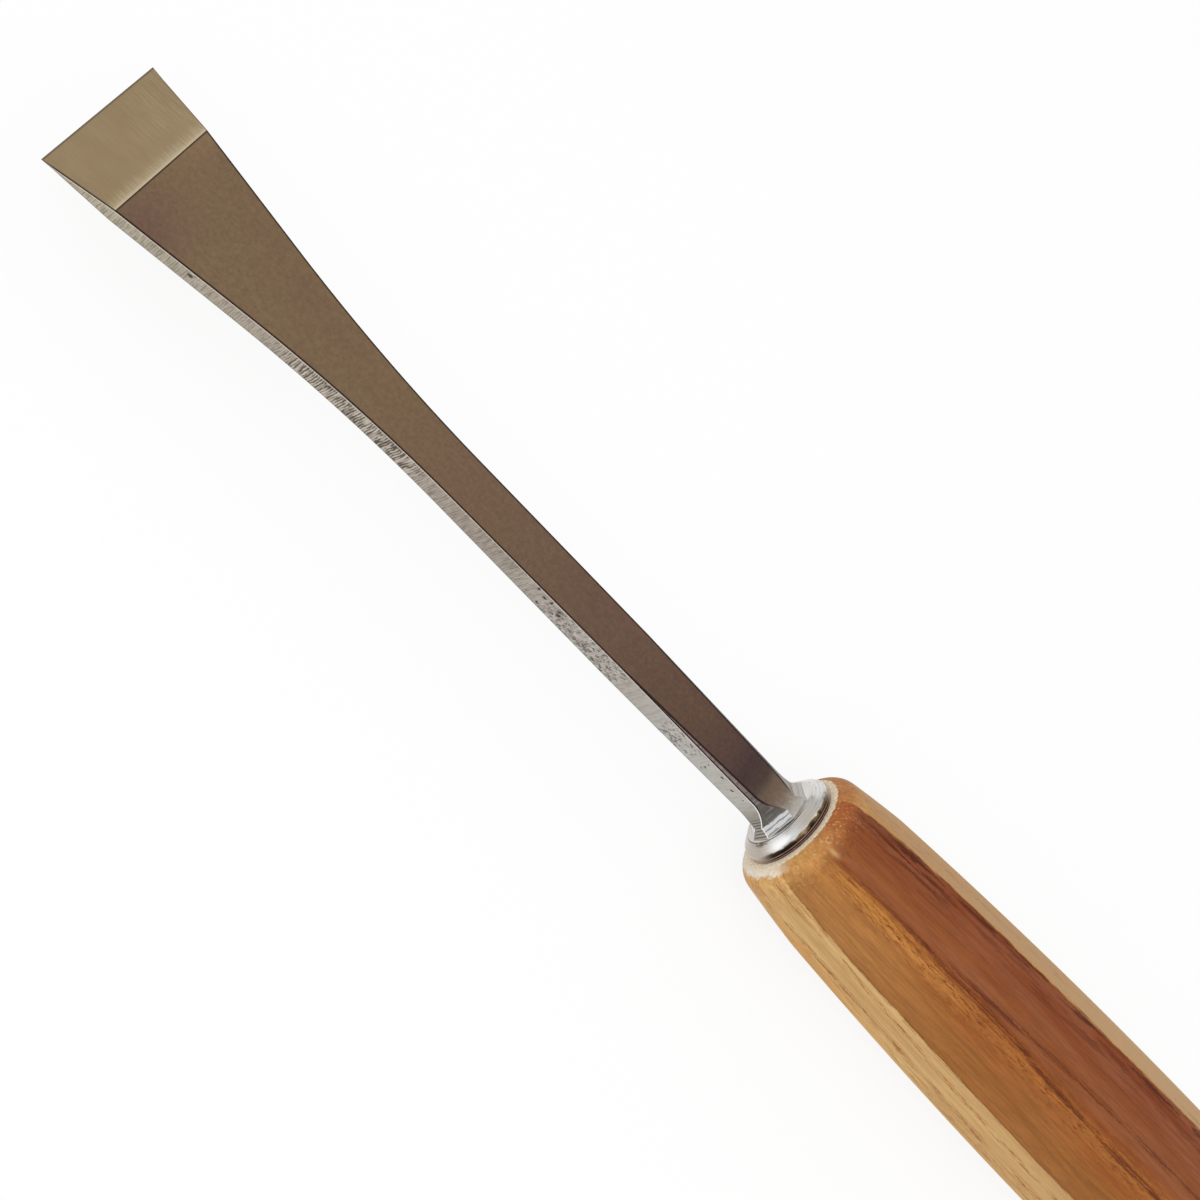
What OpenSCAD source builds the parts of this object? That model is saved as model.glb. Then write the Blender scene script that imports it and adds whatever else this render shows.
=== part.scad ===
// Fishtail carving chisel, in millimetres. One forging carries the fishtail blade, the shank, the bolster and
// the tang. The tang sits in an eight-sided wooden handle whose front end is held by a hidden steel ring.
// The tool lies along X with its cutting edge at +X and its face up. The lowest facet of the handle touches
// Z = 0, and the origin is under the middle of the tool's length.

/* [Blade] */
// Length of the blade, from the front of the handle to the cutting edge
blade_length = 127; // [105:1:160]
// Width of the cutting edge
edge_width = 20; // [14:0.5:26]
// Length of each of the two bevels that meet at the edge
bevel_length = 9.6; // [6:0.1:16]
// Thickness of the blade where the bevels begin
shoulder_thickness = 2.6; // [1.6:0.1:4]
// Angle of each side of the fishtail to the tool's axis
flare_angle = 8.3; // [7:0.1:12]
// Radius of the curve that leads from the fishtail into the shank
flare_radius = 242; // [120:1:300]

/* [Shank] */
// Width of the shank where the fishtail would meet it without a curve
shank_width = 7.1; // [6:0.1:8.5]
// Width of the shank at the bolster
neck_width = 6.4; // [5.6:0.1:7]
// Thickness of the shank at the bolster
neck_thickness = 5.2; // [4.2:0.1:6]
// Loss of height on the ground-off corners at the bolster
corner_grind = 0.8; // [0.4:0.05:1.2]
// Distance from the bolster at which the ground-off corners run out
corner_grind_length = 34; // [20:1:50]

/* [Bolster] */
// Diameter of the bolster's rim
bolster_diameter = 14.3; // [13:0.1:16.5]
// Height of the rim above the handle
rim_height = 1.3; // [1:0.1:2]
// Radius of the rim's front edge
rim_round = 0.7; // [0.3:0.05:0.9]
// Height of the cone between the rim and the turned step
cone_height = 1.3; // [1:0.1:2]
// Diameter of the bolster at the turned step
step_diameter = 11; // [10:0.1:11.6]
// Height of the shank's foot above the step
foot_height = 1.15; // [0.8:0.05:1.8]
// Distance across two opposite corners of the foot at the step
foot_across = 9.4; // [8.6:0.1:9.8]
// Distance from the bolster at which the upper and lower faces begin to rise to it
face_rise_length = 4.25; // [3:0.05:6]
// Radius of that rise
face_rise_radius = 7.8; // [7:0.1:14]
// Distance from the bolster at which the sides begin to spread to it
side_rise_length = 3.6; // [1.5:0.05:4]
// Radius of that spread
side_rise_radius = 7; // [5:0.1:9]

/* [Tang] */
// Length of the tang inside the handle
tang_length = 68; // [45:1:90]
// Width of the square tang at the bolster
tang_width = 6.2; // [5:0.1:7]
// Width of the square tang at its tip
tang_tip_width = 2.8; // [2:0.1:4]

/* [Handle] */
// Length of the handle
handle_length = 130; // [110:1:150]
// Distance across the flats at the belly
across_flats = 26.6; // [25:0.1:32]
// Distance from the handle's front to its belly
belly_position = 90; // [75:1:100]
// Radius of the lengthwise bow of each facet, at the belly
facet_radius = 1190; // [900:5:1800]
// Length of the turned shoulder at the handle's front
shoulder_length = 12; // [8:0.5:16]
// Angle of the turned shoulder to the axis
shoulder_angle = 9; // [6:0.5:12]
// Radius of the front edge
front_round = 2.8; // [1.4:0.1:3]
// Length of the turned shoulder at the butt
butt_length = 9; // [6:0.5:14]
// Angle of the turned shoulder at the butt
butt_angle = 12; // [8:0.5:16]
// Radius of the butt's edge
butt_round = 4; // [2:0.1:5]
// Radius of the butt's dome
butt_dome_radius = 32; // [24:1:60]

/* [Inner ferrule] */
// Width of the bolster's rim that reaches past the ring
ferrule_cover = 0.7; // [0.4:0.05:0.9]
// Wall of the ring
ferrule_wall = 0.8; // [0.5:0.05:0.9]
// Length of the ring
ferrule_length = 14; // [8:0.5:20]

/* [Fits] */
// Room between the wood and the steel that is driven into it
fit_room = 0.05; // [0.02:0.01:0.15]
// Room left at the bottom of the tang's socket
socket_end_room = 2; // [0.5:0.1:4]

/* [Hidden] */

// Facets of a full circle in the preview: fine for turned work, finer for the long flat curves
$fn = 96;
flare_facets = 720;
bow_facets = 480;

// Length by which a cutting shape or a blank passes what it meets
overrun = 1;

// Length by which the circle of a rounded edge laps over the lines that it joins, so that they cross
lap = 0.004;

blade_steel = [0.62, 0.56, 0.50];
ring_steel = [0.66, 0.67, 0.69];
hardwood = [0.70, 0.46, 0.26];

// The tool is drawn on its own axis, with the handle's front at X = 0, and then laid on the bench
axis_height = across_flats / 2;
seat_x = (handle_length - blade_length) / 2;

// Height at x of the straight line through two points
function along(x, x1, y1, x2, y2) = y1 + (y2 - y1) * (x - x1) / (x2 - x1);

// Bolster: heights above the handle, radii, and the rim's rounded edge between the rim and the cone
step_x = rim_height + cone_height;
bolster_x = step_x + foot_height;
bolster_r = bolster_diameter / 2;
step_r = step_diameter / 2;
cone_turn = atan2(bolster_r - step_r, cone_height);
rim_setback = rim_round * tan(cone_turn / 2);

// Blade: where the fishtail's straight sides would meet the shank, and half sizes of the shank along the axis
flare_x = blade_length - (edge_width - shank_width) / 2 / tan(flare_angle);
bevel_x = blade_length - bevel_length;
blade_reach = max(edge_width, bolster_diameter);
function half_width(x) = along(x, bolster_x, neck_width / 2, flare_x, shank_width / 2);
function half_thickness(x) = along(x, bolster_x, neck_thickness / 2, bevel_x, shoulder_thickness / 2);

// Curve between the fishtail and the shank: its tangent points and centre
shank_angle = atan2(shank_width - neck_width, 2 * (flare_x - bolster_x));
flare_setback = flare_radius * tan((flare_angle - shank_angle) / 2);
flare_point = [flare_x, shank_width / 2];
flare_out = flare_point + flare_setback * [cos(flare_angle), sin(flare_angle)];
flare_in = flare_point - flare_setback * [cos(shank_angle), sin(shank_angle)];
flare_centre = flare_in + flare_radius * [-sin(shank_angle), cos(shank_angle)];

// Ground-off corners: distance of the slanting plane from the axis where it runs out and at the bolster, and
// of the steeper plane of the foot where it would reach the handle
corner_turn = 45;
grind_x = bolster_x + corner_grind_length;
function corner_distance(x, cut) = (half_width(x) + half_thickness(x) - cut) * cos(corner_turn);
grind_out = corner_distance(grind_x, 0);
grind_in = corner_distance(bolster_x, corner_grind);
foot_seat = along(0, step_x, foot_across / 2, bolster_x, grind_in);
grind_end = grind_x + 2 * overrun;

// Handle: radius over the octagon's corners for each millimetre of its apothem. The turned blank's seam lies
// between the middle and the corner of a facet
facet_turn = 360 / 8;
seam_turn = facet_turn / 4;
corner_factor = 1 / cos(facet_turn / 2);
blank_r = across_flats / 2 * corner_factor + overrun;

// Bow of a facet: a circle of a few times the handle's thickness, stretched along the axis until its flat
// side has the facet's radius; and the apothem of the octagon at a distance d behind the front
bow_proportion = 4;
bow_r = bow_proportion * across_flats;
bow_stretch = sqrt(facet_radius / bow_r);
function apothem(d) =
    across_flats / 2 - bow_r + sqrt(pow(bow_r, 2) - pow((d - belly_position) / bow_stretch, 2));

// Front of the handle: a turned shoulder that cuts the corners, and a rounded edge
front_r = apothem(shoulder_length) * corner_factor;
front_cone_r = front_r - (shoulder_length - front_round) * tan(shoulder_angle);
front_round_r = front_cone_r - front_round / cos(shoulder_angle);
front_tangent = [front_round_r + front_round * cos(shoulder_angle), front_round * (1 - sin(shoulder_angle))];
shoulder_end = shoulder_length + (blank_r - front_r) / tan(shoulder_angle);

// Butt, measured from its end: the centre of the edge's circle slides on a line inside the shoulder's
// cone, up to the point where the circle touches the dome from within
butt_r = apothem(handle_length - butt_length) * corner_factor;
butt_end = butt_length + (blank_r - butt_r) / tan(butt_angle);
slide_r = butt_r - butt_length * tan(butt_angle) - butt_round / cos(butt_angle);
dome_less = butt_dome_radius - butt_round;
slide_offset = slide_r * cos(butt_angle) + butt_dome_radius * sin(butt_angle);
slide_foot = butt_dome_radius * cos(butt_angle) - slide_r * sin(butt_angle);
slide_run = slide_foot - sqrt(pow(dome_less, 2) - pow(slide_offset, 2));
butt_centre = [slide_r + slide_run * sin(butt_angle), slide_run * cos(butt_angle)];
butt_tangent = butt_centre + butt_round * [cos(butt_angle), -sin(butt_angle)];
dome_centre = [0, butt_dome_radius];
dome_tangent = dome_centre + (butt_centre - dome_centre) * butt_dome_radius / dome_less;

// Inner ferrule: its radii follow the bolster that covers it
ferrule_r = bolster_r - ferrule_cover;
ferrule_bore_r = ferrule_r - ferrule_wall;

// Lays what is drawn on the tool's axis on the bench
module on_bench() {
    translate([seat_x, 0, axis_height]) children();
}

// A flat outline in the X-Y plane, drawn out to both sides and turned about the axis
module drawn_through(turn, reach) {
    rotate([turn, 0, 0]) linear_extrude(height = 2 * reach, center = true) children();
}

// The same outline above and below the axis
module both_sides() {
    children();
    mirror([0, 1]) children();
}

// Curved spread of a half outline into the bolster, tangent to the shank at its start
module rise(length, half, radius) {
    start = bolster_x + length;
    difference() {
        translate([rim_height, 0]) square([start - rim_height, step_r]);
        translate([start, half + radius]) circle(radius);
    }
}

// Blade seen from above: fishtail, curve, shank, and the spread of the sides at the bolster
module plan_outline() {
    both_sides() {
        difference() {
            polygon([
                [0, 0],
                [blade_length, 0],
                [blade_length, edge_width / 2],
                flare_out,
                flare_in,
                [0, half_width(0)]
            ]);
            translate(flare_centre) circle(flare_radius + lap, $fn = flare_facets);
        }
        rise(side_rise_length, half_width(bolster_x + side_rise_length), side_rise_radius);
    }
}

// Blade seen from the side: two bevels, the wedge of the faces, and their rise at the bolster
module side_outline() {
    both_sides() {
        polygon([
            [0, 0],
            [blade_length, 0],
            [bevel_x, shoulder_thickness / 2],
            [0, half_thickness(0)]
        ]);
        rise(face_rise_length, half_thickness(bolster_x + face_rise_length), face_rise_radius);
    }
}

// Waste outside one ground-off corner and its foot, turned about the axis. It ends just past the run-out
module corner_waste(turn) {
    drawn_through(turn, blade_reach) polygon([
        [0, foot_seat],
        [bolster_x, grind_in],
        [grind_end, along(grind_end, bolster_x, grind_in, grind_x, grind_out)],
        [grind_end, blade_reach],
        [0, blade_reach]
    ]);
}

// Turned profile of the bolster up to its step: radius across, height above the handle upwards
module bolster_profile() {
    polygon([
        [0, 0],
        [bolster_r, 0],
        [bolster_r, rim_height - rim_setback],
        [bolster_r - rim_setback * sin(cone_turn), rim_height + rim_setback * cos(cone_turn)],
        [step_r, step_x],
        [0, step_x]
    ]);
    translate([bolster_r - rim_round, rim_height - rim_setback]) circle(rim_round + lap);
}

// Tapered square tang, grown by room on every side, from the seat to a depth behind it
module tang_form(room, depth) {
    mouth = tang_width / 2 + room;
    tip = along(depth, 0, tang_width, tang_length, tang_tip_width) / 2 + room;
    intersection_for(turn = [0, 90]) {
        drawn_through(turn, tang_width) polygon([[0, -mouth], [0, mouth], [-depth, tip], [-depth, -tip]]);
    }
}

// Turned envelope of the handle: radius across, distance behind the front upwards
module turned_profile() {
    translate([0, handle_length]) mirror([0, 1]) {
        polygon([
            dome_centre,
            dome_tangent,
            butt_tangent,
            [blank_r, butt_end],
            [blank_r, handle_length - shoulder_end],
            [front_tangent[0], handle_length - front_tangent[1]],
            [front_round_r, handle_length],
            [0, handle_length]
        ]);
        translate(butt_centre) circle(butt_round + lap);
        intersection() {
            translate(dome_centre) circle(butt_dome_radius, $fn = flare_facets);
            polygon([dome_centre, dome_tangent, [dome_tangent[0], 0], [0, 0]]);
        }
    }
    translate([front_round_r, front_round]) circle(front_round + lap);
}

// Waste outside one facet, turned about the axis: a bar less the ellipse that leaves the bowed facet
module facet_waste(turn) {
    drawn_through(turn, blank_r + overrun) difference() {
        translate([-handle_length - overrun, 0]) square([handle_length + 2 * overrun, blank_r + overrun]);
        translate([-belly_position, across_flats / 2 - bow_r])
            scale([bow_stretch, 1]) circle(bow_r, $fn = bow_facets);
    }
}

// Ring between two radii, from the handle's front to a depth behind it
module ring(outer, inner, depth) {
    rotate([0, -90, 0]) difference() {
        cylinder(h = depth, r = outer);
        translate([0, 0, -overrun]) cylinder(h = depth + 2 * overrun, r = inner);
    }
}

// The forging: fishtail blade, shank, bolster and tang
module blade() {
    color(blade_steel) on_bench() union() {
        difference() {
            intersection() {
                drawn_through(0, blade_reach) plan_outline();
                drawn_through(90, blade_reach) side_outline();
            }
            corner_waste(corner_turn);
            corner_waste(90 + corner_turn);
            corner_waste(180 + corner_turn);
            corner_waste(270 + corner_turn);
        }
        rotate([0, 90, 0]) rotate_extrude() bolster_profile();
        tang_form(0, tang_length);
    }
}

// The handle: a turned blank planed to eight bowed facets, bored for the tang and grooved for the ring
module handle() {
    color(hardwood) on_bench() difference() {
        rotate([seam_turn, 0, 0]) rotate([0, -90, 0]) rotate_extrude() turned_profile();
        facet_waste(0);
        facet_waste(facet_turn);
        facet_waste(2 * facet_turn);
        facet_waste(3 * facet_turn);
        facet_waste(4 * facet_turn);
        facet_waste(5 * facet_turn);
        facet_waste(6 * facet_turn);
        facet_waste(7 * facet_turn);
        tang_form(fit_room, tang_length + socket_end_room);
        ring(ferrule_r + fit_room, ferrule_bore_r - fit_room, ferrule_length + fit_room);
    }
}

// The hidden ring that keeps the handle's front end from splitting
module inner_ferrule() {
    color(ring_steel) on_bench() ring(ferrule_r, ferrule_bore_r, ferrule_length);
}

blade();
handle();
inner_ferrule();
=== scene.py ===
"""Fishtail carving chisel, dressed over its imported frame: forging, eight-sided handle and hidden ring."""

import logging
import math
from abc import ABC, abstractmethod
from dataclasses import dataclass
from enum import IntEnum
from functools import reduce

import bmesh
import bpy
from mathutils import Matrix, Vector


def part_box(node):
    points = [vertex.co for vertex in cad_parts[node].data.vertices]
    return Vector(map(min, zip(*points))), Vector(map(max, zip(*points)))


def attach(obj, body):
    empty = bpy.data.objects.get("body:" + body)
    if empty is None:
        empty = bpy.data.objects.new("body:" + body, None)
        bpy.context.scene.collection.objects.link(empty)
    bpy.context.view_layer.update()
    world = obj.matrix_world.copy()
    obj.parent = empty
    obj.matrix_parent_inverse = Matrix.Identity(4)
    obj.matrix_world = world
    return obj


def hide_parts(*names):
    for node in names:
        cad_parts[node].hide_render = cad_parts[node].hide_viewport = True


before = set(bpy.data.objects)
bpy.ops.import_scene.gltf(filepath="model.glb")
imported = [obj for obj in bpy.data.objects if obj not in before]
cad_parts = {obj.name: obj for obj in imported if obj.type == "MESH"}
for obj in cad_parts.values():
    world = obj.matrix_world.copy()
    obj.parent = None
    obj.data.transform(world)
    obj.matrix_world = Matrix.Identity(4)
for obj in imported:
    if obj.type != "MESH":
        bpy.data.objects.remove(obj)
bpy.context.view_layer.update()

MM = 0.001

log = logging.getLogger("chisel")

Socket = bpy.types.NodeSocket
Value = Socket | float
Colour = tuple[int, int, int]
Paint = Socket | Colour
Triple = tuple[float, float, float]
Source = Value | Paint | Triple
Stops = tuple[tuple[float, Colour], ...]
Pair = tuple[Colour, Colour]
Point = tuple[float, float]
Limits = tuple[float, float]

WHITE: Colour = (255, 255, 255)


class Zone(IntEnum):
    """Parts of the forging's skin that are ground or polished in different ways."""

    FACE = 0
    BEVEL = 1
    SIDE = 2
    CORNER = 3
    BOLSTER = 4
    TANG = 5


def linear(colour: Colour) -> tuple[float, ...]:
    """Turns a screen colour, from 0 to 255, into the shader's linear red, green, blue and alpha."""
    parts = (c / 255 / 12.92 if c <= 10 else ((c / 255 + 0.055) / 1.055) ** 2.4 for c in colour)
    return (*parts, 1.0)


def along(x: float, x1: float, y1: float, x2: float, y2: float) -> float:
    """Height at x of the straight line through two points."""
    return y1 + (y2 - y1) * (x - x1) / (x2 - x1)


def steps(start: float, end: float, step: float) -> list[float]:
    """Places from start up to but not at end, evenly spaced by about one step."""
    count = max(1, round(abs(end - start) / step))
    return [start + (end - start) * i / count for i in range(count)]


def polar(radius: float, angle: float, x: float) -> Vector:
    """Point at a radius and at an angle from the top towards +Y."""
    return Vector((x, radius * math.sin(angle), radius * math.cos(angle)))


def square(half: float, angle: float, x: float) -> Vector:
    """Point of a square about the axis, given by half its width, at an angle from the top."""
    return polar(half / max(abs(math.sin(angle)), abs(math.cos(angle))), angle, x)


class Graph:
    """Shader nodes of a finish or the sky, placed and joined by short calls. Lengths are in millimetres."""

    def __init__(self, owner: bpy.types.Material | bpy.types.World) -> None:
        """Opens the nodes, with places in the tool's own coordinates.

        Args:
            owner: What the nodes belong to.
        """
        owner.use_nodes = True
        self.tree = owner.node_tree
        kinds = {node.type: node for node in self.tree.nodes}
        self.shader = kinds.get("BSDF_PRINCIPLED")
        self.out = kinds.get("OUTPUT_MATERIAL") or kinds["OUTPUT_WORLD"]
        self.colour: Paint = WHITE
        self.place = self.spread(self.node("TexCoord").outputs["Object"], (1 / MM, 1 / MM, 1 / MM))
        self.x, self.y, self.z = self.node("SeparateXYZ", self.place).outputs

    def node(
        self, kind: str, *sources: Source, inputs: dict[str | int, Source] | None = None, **settings: object
    ) -> bpy.types.Node:
        """Adds a node, sets its options and joins its inputs.

        Args:
            kind: Blender's name of the node type, without its prefix.
            sources: What the first inputs take, in order.
            inputs: What other inputs take, by their name or number.
            settings: Options of the node by name.

        Returns:
            The new node.
        """
        node = self.tree.nodes.new("ShaderNode" + kind)
        for name, value in settings.items():
            setattr(node, name, value)
        for key, source in (dict(enumerate(sources)) | (inputs or {})).items():
            self.join(source, node.inputs[key])
        return node

    def join(self, source: Source, socket: Socket) -> None:
        """Joins a socket to its source, or sets it where the source is a plain value.

        Args:
            source: A socket, a number, a screen colour or a vector.
            socket: The input that takes it.
        """
        if isinstance(source, Socket):
            self.tree.links.new(source, socket)
        elif isinstance(source, tuple) and socket.type == "RGBA":
            socket.default_value = linear(source)
        else:
            socket.default_value = source

    def calc(self, operation: str, *values: Value) -> Socket:
        """One step of arithmetic, by Blender's name of the operation."""
        return self.node("Math", *values, operation=operation).outputs[0]

    def times(self, *values: Value) -> Value:
        """The product of several values."""
        return reduce(lambda a, b: self.calc("MULTIPLY", a, b), values)

    def most(self, *values: Value) -> Value:
        """The largest of several values."""
        return reduce(lambda a, b: self.calc("MAXIMUM", a, b), values)

    def rest(self, value: Value) -> Socket:
        """What a value leaves of 1."""
        return self.calc("SUBTRACT", 1.0, value)

    def span(self, value: Value, low: float, high: float) -> Socket:
        """A value from 0 to 1 turned into one from low to high."""
        return self.calc("MULTIPLY_ADD", value, high - low, low)

    def shaken(self, value: Value, noise: Value, reach: float) -> Socket:
        """A value that a noise moves by half of reach to both sides."""
        return self.calc("MULTIPLY_ADD", self.calc("SUBTRACT", noise, 0.5), reach, value)

    def fade(self, value: Value, start: float, end: float) -> Socket:
        """A soft rise from 0 to 1 while a value goes from start to end, which may be below start."""
        options = {"interpolation_type": "SMOOTHSTEP", "clamp": True}
        return self.node("MapRange", value, start, end, **options).outputs[0]

    def hill(self, value: Value, middle: float, reach: float) -> Socket:
        """A soft hill of 1 at middle that is gone at reach to both sides."""
        away = self.calc("ABSOLUTE", self.calc("SUBTRACT", value, middle))
        return self.fade(away, reach, 0.0)

    def stretch(self, value: Value, start: float, full: float, last: float, end: float) -> Value:
        """A soft plateau of 1 from full to last that is gone at start and at end."""
        return self.times(self.fade(value, start, full), self.fade(value, end, last))

    def wave(self, value: Value, length: float) -> Socket:
        """A sine of a value, with the length of one wave."""
        return self.calc("SINE", self.times(value, 2 * math.pi / length))

    def angle(self) -> Value:
        """Angle round the tool's axis in degrees: 0 at the top and 90 at +Y."""
        return self.times(self.calc("ARCTAN2", self.y, self.z), 180 / math.pi)

    def vector(self, *parts: Value) -> Socket:
        """A vector made of up to three parts."""
        return self.node("CombineXYZ", *parts).outputs[0]

    def spread(self, vector: Socket, factors: Triple, offset: Triple = (0.0, 0.0, 0.0)) -> Socket:
        """A vector times factors, moved by an offset."""
        return self.node("VectorMath", vector, factors, offset, operation="MULTIPLY_ADD").outputs[0]

    def noise(
        self,
        factors: Triple,
        detail: float = 3.0,
        roughness: float = 0.55,
        offset: Triple = (0.0, 0.0, 0.0),
        vector: Socket | None = None,
    ) -> Socket:
        """Cloudy variation from 0 to 1 over the tool.

        Args:
            factors: Cloud counts per millimetre or degree along each axis.
            detail: How many finer layers are added.
            roughness: Weight of the finer layers.
            offset: Moves the pattern, so that two patterns differ.
            vector: Place to use instead of the tool's coordinates.

        Returns:
            The variation.
        """
        place = self.spread(self.place if vector is None else vector, factors, offset)
        inputs = {"Scale": 1.0, "Detail": detail, "Roughness": roughness}
        return self.node("TexNoise", place, inputs=inputs).outputs[0]

    def ramp(self, value: Value, stops: Stops) -> Socket:
        """Colours laid along a value.

        Args:
            value: The value.
            stops: Values in rising order, each with its colour.

        Returns:
            The colour.
        """
        low, length = stops[0][0], stops[-1][0] - stops[0][0]
        node = self.node("ValToRGB", self.calc("MULTIPLY_ADD", value, 1 / length, -low / length))
        elements = node.color_ramp.elements
        while len(elements) < len(stops):
            elements.new(0.5)
        for element, (at, colour) in zip(elements, stops, strict=True):
            element.position = (at - low) / length
            element.color = linear(colour)
        return node.outputs[0]

    def mix(self, amount: Value, a: Paint, b: Paint) -> Socket:
        """A first colour that gives way to a second while amount goes from 0 to 1."""
        return self.node("Mix", amount, inputs={6: a, 7: b}, data_type="RGBA").outputs[2]

    def coat(self, paint: Paint, *amounts: Value) -> None:
        """Lays a paint over the colour so far, by the product of the amounts."""
        self.colour = self.mix(self.times(*amounts), self.colour, paint)

    def shade(self, value: Value, low: float, high: float) -> None:
        """Scales the brightness of the colour so far, by low where a value is 0 and by high where it is 1."""
        inputs = {"Scale": self.span(value, low, high)}
        self.colour = self.node("VectorMath", self.colour, inputs=inputs, operation="SCALE").outputs[0]

    def rim(self) -> Socket:
        """Distance from the border of a zone, which the mesh carries at each point."""
        return self.node("Attribute", attribute_name="rim").outputs["Fac"]

    def finish(
        self,
        roughness: Value,
        height: Socket | None = None,
        depth: float = 0.0,
        strength: float = 0.5,
        metal: bool = True,
    ) -> None:
        """Joins the colour so far, roughness and relief to the shader.

        Args:
            roughness: Roughness of the surface.
            height: Relief from 0 to 1, where there is any.
            depth: Height of the relief in millimetres.
            strength: How much of the relief is shown.
            metal: Whether the surface is metal.
        """
        parts = {"Base Color": self.colour, "Roughness": roughness, "Metallic": float(metal)}
        for name, source in parts.items():
            self.join(source, self.shader.inputs[name])
        if height is not None:
            relief = {"Strength": strength, "Distance": depth * MM, "Height": height}
            self.join(self.node("Bump", inputs=relief).outputs[0], self.shader.inputs["Normal"])


@dataclass(frozen=True)
class Finish(ABC):
    """A finish, whose colours lie along the tool in millimetres or round it in degrees."""

    name: str

    def make(self) -> bpy.types.Material:
        """Makes the material.

        Returns:
            The material.
        """
        material = bpy.data.materials.new(self.name)
        self.paint(Graph(material))
        return material

    @abstractmethod
    def paint(self, g: Graph) -> None:
        """Paints the nodes that the finish is given."""


@dataclass(frozen=True)
class BrownedFace(Finish):
    """Broad face of the blade: fine-ground steel whose brown, deepening towards the bolster, is partly a
    bloom and partly a painted reflection of brown surroundings.
    """

    name: str = "face_steel"
    roughness: float = 0.36
    shoulder_x: float = 117.4
    line_width: float = 0.16
    cloudiness: float = 0.18
    steel: Stops = (
        (2.6, (200, 194, 186)), (3.4, (172, 164, 154)), (4.2, (138, 124, 110)), (5.0, (122, 105, 90)),
        (6.0, (116, 98, 84)), (7.2, (106, 90, 78)), (8.2, (84, 69, 61)), (11.0, (76, 60, 58)),
        (14.0, (90, 70, 64)), (20.0, (101, 78, 66)), (40.0, (109, 87, 73)), (60.0, (119, 96, 77)),
        (80.0, (125, 102, 79)), (117.4, (126, 104, 80)),
    )
    straw: Colour = (124, 108, 82)
    rust: Colour = (118, 90, 78)
    stain: Colour = (113, 86, 77)
    glint: Colour = (142, 116, 90)
    bare: Colour = (196, 190, 182)
    line: Colour = (48, 38, 33)

    def paint(self, g: Graph) -> None:
        """Paints the brown, partly bloom and partly painted reflection, clouds and grain, a painted highlight
        near the shoulder, and lines of painted shade at the borders and the shoulder.

        Args:
            g: Nodes of the finish.
        """
        # The steel stops give the face its brown: partly a bloom, partly a painted reflection of brown
        # surroundings.
        wander = g.noise((0.5, 0.7, 0.3), offset=(1.0, 8.0, 0.0))
        g.colour = g.ramp(g.shaken(g.x, wander, 1.2), self.steel)
        shank = g.fade(g.x, 8.0, 20.0)
        cloud = g.noise((0.07, 0.16, 0.1), offset=(3.0, 1.0, 0.0))
        g.coat(self.straw, g.fade(cloud, 0.46, 0.66), shank, self.cloudiness)
        cloud = g.noise((0.09, 0.2, 0.1), offset=(11.0, 5.0, 0.0))
        g.coat(self.rust, g.fade(cloud, 0.48, 0.68), shank, self.cloudiness)
        g.coat(self.stain, g.hill(g.x, 113.5, 7.5), g.fade(g.y, 0.0, 7.5), 0.75)
        # Painted highlight on the face just behind the bevel's shoulder, stronger towards -Y.
        g.coat(self.glint, g.fade(g.x, 113.0, self.shoulder_x), g.fade(g.y, 1.0, -7.5), 0.6)
        grain = g.noise((0.05, 6.0, 0.1), detail=5, roughness=0.7)
        sand = g.noise((1.6, 1.6, 1.6), detail=4, roughness=0.8, offset=(0.0, 9.0, 0.0))
        g.shade(g.fade(sand, 0.3, 0.7), 0.88, 1.12)
        g.shade(grain, 0.95, 1.05)
        streak = g.noise((0.5, 3.2, 0.5), detail=4, roughness=0.65, offset=(0.0, 2.0, 5.0))
        g.coat(self.bare, g.fade(streak, 0.5, 0.64), g.fade(g.x, 6.0, 3.6), 0.3)
        # Painted shade: dark lines along the face's borders, wider towards -Y, and at the bevel's shoulder.
        border = g.times(g.rim(), g.span(g.fade(g.y, 0.5, -0.5), 1.0, 0.55))
        edge = g.times(g.fade(border, self.line_width, 0.3 * self.line_width), g.fade(g.x, 3.8, 5.4))
        shoulder = g.fade(g.x, self.shoulder_x - 0.28, self.shoulder_x - 0.08)
        g.coat(self.line, g.most(g.times(edge, 0.95), g.times(shoulder, 0.85)))
        rough = g.span(grain, self.roughness - 0.04, self.roughness + 0.06)
        g.finish(rough, grain, depth=0.004)


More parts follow.
